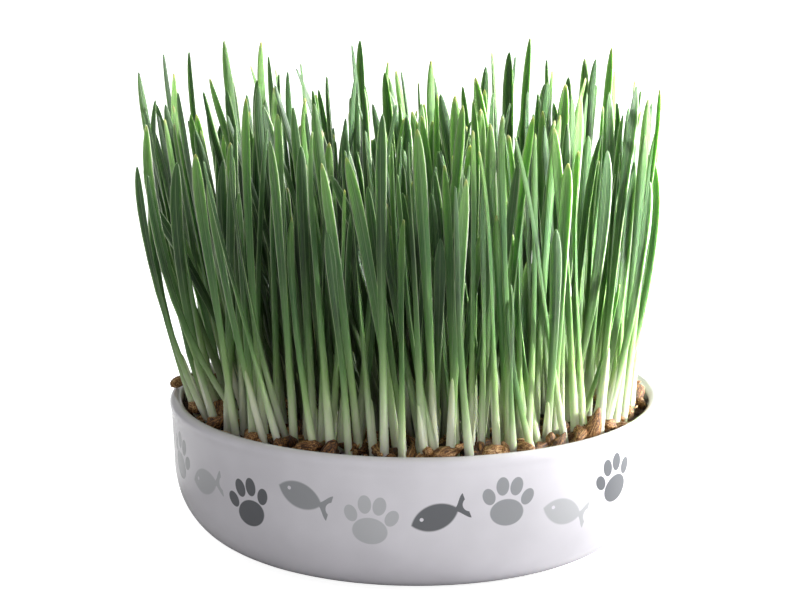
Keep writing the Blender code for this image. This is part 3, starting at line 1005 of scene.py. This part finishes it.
def leaf_material(settings):
    """Nearly white at the foot and green above, with veins, a lighter midrib, a painted highlight along each
    edge, painted shade on the stems deep in the stand and, on some, a dry tip.
    """
    material, tree, shader = new_material(
        "barley_leaf", 0.45, Subsurface_Weight=1.0, Subsurface_Scale=1.0 * MM, Specular_IOR_Level=0.35
    )
    shader.inputs["Subsurface Radius"].default_value = (0.8, 1.0, 0.6)
    along, tint, across = tree.attribute("along"), tree.attribute("tint"), tree.attribute("across")
    long_grain = fibre_grain(tree, tree.place(), (260.0, 260.0, 26.0))
    place = tree.sum(along, tree.product(long_grain, 0.10), tree.product(tint, 0.08), -0.10)
    # Both ramps run up the leaf: nearly white at the stem's foot, as barley is, darkest green at mid-height,
    # which is painted shade from the stand, and lighter again at the tip, which is painted light shining
    # through the leaf
    deep = tree.ramp(place, (
        (0.04, srgb(222, 226, 208)), (0.12, srgb(206, 218, 184)), (0.24, srgb(152, 180, 124)),
        (0.40, srgb(98, 136, 80)), (0.62, srgb(36, 63, 41)), (0.98, srgb(58, 95, 58)),
    ))  # fmt: skip
    bright = tree.ramp(place, (
        (0.04, srgb(222, 225, 208)), (0.14, srgb(214, 224, 188)), (0.28, srgb(168, 198, 132)),
        (0.44, srgb(118, 160, 98)), (0.70, srgb(78, 122, 76)), (0.98, srgb(126, 166, 94)),
    ))  # fmt: skip
    colour = tree.mix(tree.ease(tint, 0.35, 1.0), deep, bright)
    flank = tree.math("ABSOLUTE", across)
    leafy = tree.ease(along, 0.35, 0.55)
    # Painted highlight: a light line along each edge of the leaf
    painted_edge_highlight = tree.product(tree.ease(flank, 0.86, 1.0, 0.0, 0.6), leafy)
    colour = tree.mix(painted_edge_highlight, colour, opaque(settings.edge_highlight_and_rib_colour))
    # A lighter line along the midrib, in the same colour as the edge highlight
    rib = tree.product(tree.ease(flank, 0.0, 0.15, 0.16, 0.0), leafy)
    colour = tree.mix(rib, colour, opaque(settings.edge_highlight_and_rib_colour))
    veins = tree.math("SINE", tree.product(across, 26.0))
    streak = tree.sum(0.5, tree.product(veins, 0.35), tree.product(long_grain, 0.3))
    streaked = tree.product(tree.ease(streak, 0.45, 1.0, 0.0, 0.14), leafy)
    colour = tree.mix(streaked, colour, opaque(srgb(170, 205, 120)))
    # Painted shade: the stems deep in the stand are darkened by multiplying in the shade colour
    shaded = tree.product(tree.attribute("shade"), 0.8)
    colour = tree.mix(shaded, colour, opaque(settings.painted_shade_colour), "MULTIPLY")
    dry = tree.product(tree.ease(along, 0.97, 1.0), tree.ease(tint, 0.55, 0.85), 0.7)
    colour = tree.mix(dry, colour, opaque(settings.dry_colour))
    link(tree, colour, shader, "Base Color")
    link(tree, tree.ease(long_grain, 0.3, 0.7, 0.34, 0.52), shader, "Roughness")
    add_bump(tree, shader, tree.sum(tree.product(veins, 0.5), long_grain), 0.35, 0.0001)
    return material


def sheath_material():
    material, tree, shader = new_material(
        "pale_sheath", 0.45, Subsurface_Weight=0.4, Subsurface_Scale=1.5 * MM
    )
    shader.inputs["Subsurface Radius"].default_value = (1.0, 0.9, 0.5)
    along = tree.attribute("along")
    grain = fibre_grain(tree, tree.place(), (700.0, 700.0, 60.0))
    colour = tree.ramp(tree.sum(along, tree.product(grain, 0.2), -0.1), (
        (0.0, srgb(200, 186, 158)), (0.12, srgb(222, 222, 204)),
        (0.6, srgb(220, 226, 198)), (1.0, srgb(180, 200, 146)),
    ))  # fmt: skip
    link(tree, colour, shader, "Base Color")
    add_bump(tree, shader, grain, 0.4, 0.0002)
    return material


def root_material():
    material, tree, shader = new_material("rootlet", 0.7, Subsurface_Weight=0.2, Subsurface_Scale=0.5 * MM)
    grain = fibre_grain(tree, tree.place(), (420.0, 420.0, 420.0))
    stops = ((0.3, srgb(150, 112, 72)), (0.5, srgb(206, 184, 146)), (0.7, srgb(232, 220, 196)))
    colour = tree.ramp(grain, stops)
    link(tree, colour, shader, "Base Color")
    add_bump(tree, shader, grain, 0.3, 0.0002)
    return material


# Settings


def colour_property(name, description, default):
    return bpy.props.FloatVectorProperty(
        name=name, description=description, subtype="COLOR", size=3, min=0.0, max=1.0, default=default
    )


def length_property(name, description, default):
    return bpy.props.FloatProperty(
        name=name, description=description, unit="LENGTH", default=default, precision=5
    )


def strength_property(name, description, default):
    return bpy.props.FloatProperty(name=name, description=description, default=default, min=0.0)


def count_property(name, description, default, low, high):
    return bpy.props.IntProperty(name=name, description=description, default=default, min=low, max=high)


class CatGrassBowlSettings(bpy.types.PropertyGroup):
    glaze_colour: colour_property("Glaze", "Colour of the glaze", srgb(232, 229, 236))
    print_dark: colour_property("Dark grey", "Darkest grey of the print", srgb(82, 85, 90))
    print_mid: colour_property("Middle grey", "Middle grey of the print", srgb(152, 154, 158))
    print_light: colour_property("Light grey", "Lightest grey of the print", srgb(190, 191, 195))
    motif_count: count_property("Motifs", "Motifs round the bowl", 24, 6, 40)
    band_height: length_property("Band height", "Height of the print's middle above the foot", 0.0275)
    steps: count_property("Steps", "Faces round the bowl", 144, 24, 360)


class CatGrassSoilSettings(bpy.types.PropertyGroup):
    colour: colour_property("Soil", "Colour of damp soil", srgb(62, 42, 28))
    lump_height: length_property("Lumps", "Height of the lumps on the soil", 0.0009)
    crumbs: count_property("Crumbs", "Loose crumbs on the soil", 700, 0, 3000)
    kernels: count_property("Kernels", "Kernels on the soil", 340, 0, 900)
    flakes: count_property("Flakes", "Scraps of husk", 420, 0, 900)
    rootlets: count_property("Rootlets", "Fine roots that show", 90, 0, 400)


class CatGrassStandSettings(bpy.types.PropertyGroup):
    thin_shoots: count_property("Thin shoots", "Tries at a thinner shoot between the others", 640, 0, 900)
    sheath_share: bpy.props.FloatProperty(
        name="Sheaths", description="Share of the shoots with a sheath", default=0.5, min=0.0, max=1.0
    )
    # Painted highlight: the light colour along each leaf's edge, which the midrib line also takes
    edge_highlight_and_rib_colour: colour_property("Leaf edge", "Colour of a leaf's thin edge", srgb(200, 224, 168))
    dry_colour: colour_property("Dry tip", "Colour of a tip that starts to dry", srgb(198, 180, 112))
    # Painted shade: the colour that darkens the stems deep in the stand
    painted_shade_colour: colour_property("Inner shade", "Tint of the stems deep in the stand", (0.16, 0.18, 0.13))


class CatGrassStageSettings(bpy.types.PropertyGroup):
    floor_colour: colour_property("Floor", "Colour of the floor", (0.76, 0.76, 0.76))
    distance: length_property("Camera distance", "From the camera to the middle of the bowl", 0.7)
    elevation: bpy.props.FloatProperty(
        name="Elevation", description="Height of the camera", unit="ROTATION", default=math.radians(16.7)
    )
    sky_left: strength_property("Sky, left", "Strength of the soft light on the left", 0.26)
    sky_right: strength_property("Sky, right", "Strength of the soft light on the right", 0.95)
    key: strength_property("Key light", "Strength of the light from behind on the right", 4.6)
    side_light: strength_property("Side light", "Power of the light on the right side", 112.0)


# Operators


class CatGrassOperator:
    bl_options = {"REGISTER", "UNDO"}


class CATGRASS_OT_bowl(CatGrassOperator, bpy.types.Operator):
    """Make the glazed bowl with its print"""

    bl_idname = "catgrass.bowl"
    bl_label = "Bowl"

    def execute(self, context):
        settings = context.scene.cat_grass_bowl
        mesh = turned_mesh("glazed_bowl", bowl_profile(), settings.steps)
        hand_over(new_piece("glazed_bowl", mesh, glaze_material(settings)), "glaze", "bowl")
        return {"FINISHED"}


class CATGRASS_OT_soil(CatGrassOperator, bpy.types.Operator):
    """Make the soil, its crumbs, the kernels and the fine roots"""

    bl_idname = "catgrass.soil"
    bl_label = "Soil and kernels"

    def execute(self, context):
        settings = context.scene.cat_grass_soil
        material = soil_material(settings)
        ground = new_piece("potting_soil", turned_mesh("potting_soil", soil_profile(), 120))
        values = {"Lump Height": settings.lump_height, "Level": SOIL_TOP, "Material": material}
        hand_over(grown_by(ground, lumpy_tree(), values), "soil", "soil")
        scatter = scatter_tree()
        draw = random.Random(SEED + 900)
        self.crumbs(settings, scatter, material, draw)
        self.kernels(settings, scatter, draw)
        self.flakes(settings, scatter, draw)
        self.rootlets(settings, draw)
        return {"FINISHED"}

    def crumbs(self, settings, scatter, material, draw):
        litter = Litter()
        for _ in range(settings.crumbs):
            way, reach = draw.uniform(0, TURN), LITTER_REACH * draw.random() ** 0.35
            size = draw.uniform(0.7, 2.2) * MM
            height = SOIL_TOP + draw.uniform(-0.2, 0.8) * MM
            turn = [draw.uniform(0, TURN) for _ in range(3)]
            sizes = (size * draw.uniform(0.7, 1.3), size, size * draw.uniform(0.5, 1.0))
            litter.add(way, reach, height, turn, sizes, draw.random())
        litter.scattered("soil_crumbs", lump_shape(), scatter, material)

    def kernels(self, settings, scatter, draw):
        litter = Litter()
        for _ in range(settings.kernels):
            way, scale = draw.uniform(0, TURN), draw.uniform(0.8, 1.2)
            heading, tilt = draw.uniform(0, TURN), draw.gauss(0, 0.5)
            size = [length * scale for length in KERNEL_SIZE]
            outwards = size[0] * abs(math.cos(heading - way) * math.cos(tilt)) + size[1]
            reach = min(LITTER_REACH * draw.random() ** 0.33, KERNEL_LIMIT - outwards)
            height = SOIL_TOP + draw.uniform(0.2, 1.4 + 2.4 * (reach / KERNEL_LIMIT) ** 4) * MM
            turn = (draw.uniform(-0.8, 0.8), tilt, heading)
            litter.add(way, reach, height, turn, size, draw.random())
        for (x, y, z), turn, scale in HUSKS_SEEN:
            size = [length * scale for length in KERNEL_SIZE]
            litter.add(math.atan2(y, x), math.hypot(x, y), z, turn, size, draw.uniform(0.5, 0.95))
        litter.scattered("barley_kernels", kernel_shape(), scatter, husk_material())

    def flakes(self, settings, scatter, draw):
        litter = Litter()
        for _ in range(settings.flakes):
            way, reach = draw.uniform(0, TURN), 0.0685 * draw.random() ** 0.33
            height = SOIL_TOP + draw.uniform(0.6, 3.6) * MM
            length = draw.uniform(1.6, 4.2) * MM
            turn = (draw.uniform(-1.2, 1.2), draw.gauss(0, 0.6), draw.uniform(0, TURN))
            size = (length, length * draw.uniform(0.35, 0.7), length * 0.16)
            litter.add(way, reach, height, turn, size, draw.random())
        litter.scattered("husk_flakes", lump_shape(), scatter, husk_material())

    def rootlets(self, settings, draw):
        lines = Lines()
        along = np.linspace(0, 1, ROOTLET_POINTS)
        half = ROOTLET_HALF * np.array([1, 1, 1, 0.9, 0.8, 0.6, 0.35])
        for _ in range(settings.rootlets):
            way, reach = draw.uniform(0, TURN), 0.068 * draw.random() ** 0.4
            heading, point = draw.uniform(0, TURN), np.array([reach * math.cos(way), reach * math.sin(way)])
            points = []
            for k in range(ROOTLET_POINTS):
                hump = SOIL_TOP + (0.4 + 1.4 * math.sin(math.pi * k / (ROOTLET_POINTS - 1))) * MM
                points.append((*point, hump))
                heading += draw.gauss(0, 0.5)
                step = point + ROOTLET_STEP * np.array([math.cos(heading), math.sin(heading)])
                point = step if np.linalg.norm(step) < LITTER_REACH else point * 0.99
            side = np.tile([1.0, 0.0], (ROOTLET_POINTS, 1))
            lines.add(np.array(points), side, half, half, 0.0, 0.0, along, draw.random(), 1.0)
        hand_over(sweep_upright(lines, "rootlets", root_material()), "soil")


def sweep_upright(lines, name, material):
    """Rootlets lie flat, so their ring stands upright: its front is straight up."""
    for k, points in enumerate(lines.points):
        way = np.gradient(points, axis=0)
        way[:, 2] = 0
        way /= np.maximum(np.linalg.norm(way, axis=1), 1e-9)[:, None]
        lines.values["side"][k] = np.column_stack([-way[:, 1], way[:, 0], way[:, 2]])
        lines.values["front"][k] = np.tile([0.0, 0.0, 1.0], (len(points), 1))
    return lines.grown(name, swept_leaf_tree(), {"Sides": 5, "Material": material})


class CATGRASS_OT_barley(CatGrassOperator, bpy.types.Operator):
    """Grow the barley, one piece for each tuft, and its pale sheaths"""

    bl_idname = "catgrass.barley"
    bl_label = "Barley"

    def execute(self, context):
        settings = context.scene.cat_grass_stand
        centres = tuft_centres()
        stand, tufts = grown_stand(centres)
        shoots = list(zip(stand.shoots, tufts))
        shoots += thin_shoots(stand, centres, settings.thin_shoots)
        material, tree, draw = leaf_material(settings), swept_leaf_tree(), random.Random(SEED + 300)
        sheaths = Lines()
        for own in range(len(centres)):
            lines = Lines()
            for shoot, tuft in shoots:
                if tuft != own:
                    continue
                add_leaf(lines, shoot, draw)
                if draw.random() < settings.sheath_share:
                    add_sheath(sheaths, shoot, draw)
            node = f"tuft_{own + 1:02d}"
            piece = lines.grown(f"barley_{node}", tree, {"Material": material})
            hand_over(piece, "grass", node)
        hand_over(sheaths.grown("pale_sheaths", tree, {"Material": sheath_material()}), "grass")
        return {"FINISHED"}


def studio_sky(settings):
    """A soft white sky, brighter on the right than on the left."""
    world = bpy.data.worlds.new("studio")
    world.use_nodes = True
    tree = Tree(world.node_tree)
    way = tree.add("ShaderNodeTexCoord").outputs["Generated"]
    rightness = tree.add("ShaderNodeSeparateXYZ", {0: way}).outputs[0]
    strength = tree.ease(rightness, -0.9, 0.9, settings.sky_left, settings.sky_right)
    background = world.node_tree.nodes["Background"]
    background.inputs[0].default_value = (1.0, 1.0, 1.0, 1.0)
    world.node_tree.links.new(strength, background.inputs[1])
    return world


def shining_from(way):
    """The rotation of a light that shines from this way."""
    return way.to_track_quat("Z", "Y").to_euler()


class CATGRASS_OT_stage(CatGrassOperator, bpy.types.Operator):
    """Set the floor, the lights and the camera"""

    bl_idname = "catgrass.stage"
    bl_label = "Stage"

    def execute(self, context):
        settings, scene = context.scene.cat_grass_stage, context.scene
        bm = bmesh.new()
        bmesh.ops.create_grid(bm, x_segments=1, y_segments=1, size=FLOOR_REACH)
        mesh = mesh_from(bm, "floor")
        material, tree, shader = new_material("floor", 0.6, Emission_Strength=0.9)
        shader.inputs["Base Color"].default_value = opaque(settings.floor_colour)
        seen = tree.add("ShaderNodeLightPath").outputs["Is Camera Ray"]
        glow = tree.mix(seen, opaque((0.0, 0.0, 0.0)), opaque((1.0, 1.0, 1.0)))
        link(tree, glow, shader, "Emission Color")
        new_piece("floor", mesh, material)
        scene.world = studio_sky(settings)
        key = bpy.data.lights.new("key", "SUN")
        key.energy, key.angle = settings.key, KEY_ANGLE
        new_piece("key", key).rotation_euler = shining_from(Vector(KEY_WAY))
        self.side_light(settings)
        scene.view_settings.view_transform = "Standard"
        self.camera(settings, scene)
        return {"FINISHED"}

    def side_light(self, settings):
        """A soft-edged light on the right side of the grass."""
        data = bpy.data.lights.new("side_light", "SPOT")
        data.energy, data.spot_size, data.spot_blend = settings.side_light, SIDE_LIGHT_CONE, 1.0
        data.shadow_soft_size = 0.06
        made = new_piece("side_light", data)
        made.location = SIDE_LIGHT_PLACE
        made.rotation_euler = shining_from(made.location - Vector(SIDE_LIGHT_AIM))

    def camera(self, settings, scene):
        """Aims so that the bowl's middle falls where the photograph shows it."""
        focus = PIXELS_PER_MM / MM * settings.distance
        data = bpy.data.cameras.new("camera")
        data.sensor_width, data.clip_start = SENSOR_WIDTH, 0.01
        data.lens = SENSOR_WIDTH * focus / FRAME_SIZE[0]
        made = new_piece("camera", data)
        out, up = math.cos(settings.elevation), math.sin(settings.elevation)
        made.location = (0.0, -settings.distance * out, BOWL_HEIGHT / 2 + settings.distance * up)
        aside, below = (seen - size / 2 for seen, size in zip(BOWL_SEEN_AT, FRAME_SIZE))
        pitch = math.atan(below / focus) - settings.elevation
        made.rotation_euler = (math.pi / 2 + pitch, 0.0, math.atan(aside / focus))
        scene.camera = made


class CATGRASS_PT_panel(bpy.types.Panel):
    """Lists the steps that make the bowl of cat grass"""

    bl_idname = "CATGRASS_PT_panel"
    bl_label = "Cat grass"
    bl_space_type = "VIEW_3D"
    bl_region_type = "UI"
    bl_category = "Cat Grass"

    def draw(self, context):
        for group, operator in STEPS:
            box = self.layout.box()
            box.operator(operator.bl_idname)
            for key in group.__annotations__:
                box.prop(getattr(context.scene, SCENE_NAMES[group]), key)


STEPS = (
    (CatGrassBowlSettings, CATGRASS_OT_bowl),
    (CatGrassSoilSettings, CATGRASS_OT_soil),
    (CatGrassStandSettings, CATGRASS_OT_barley),
    (CatGrassStageSettings, CATGRASS_OT_stage),
)
SCENE_NAMES = {
    CatGrassBowlSettings: "cat_grass_bowl",
    CatGrassSoilSettings: "cat_grass_soil",
    CatGrassStandSettings: "cat_grass_stand",
    CatGrassStageSettings: "cat_grass_stage",
}


def register():
    for group, operator in STEPS:
        bpy.utils.register_class(group)
        bpy.utils.register_class(operator)
        setattr(bpy.types.Scene, SCENE_NAMES[group], bpy.props.PointerProperty(type=group))
    bpy.utils.register_class(CATGRASS_PT_panel)


def unregister():
    bpy.utils.unregister_class(CATGRASS_PT_panel)
    for group, operator in reversed(STEPS):
        delattr(bpy.types.Scene, SCENE_NAMES[group])
        bpy.utils.unregister_class(operator)
        bpy.utils.unregister_class(group)


def main():
    register()
    bpy.ops.catgrass.bowl()
    bpy.ops.catgrass.soil()
    bpy.ops.catgrass.barley()
    bpy.ops.catgrass.stage()


if __name__ == "__main__":
    main()
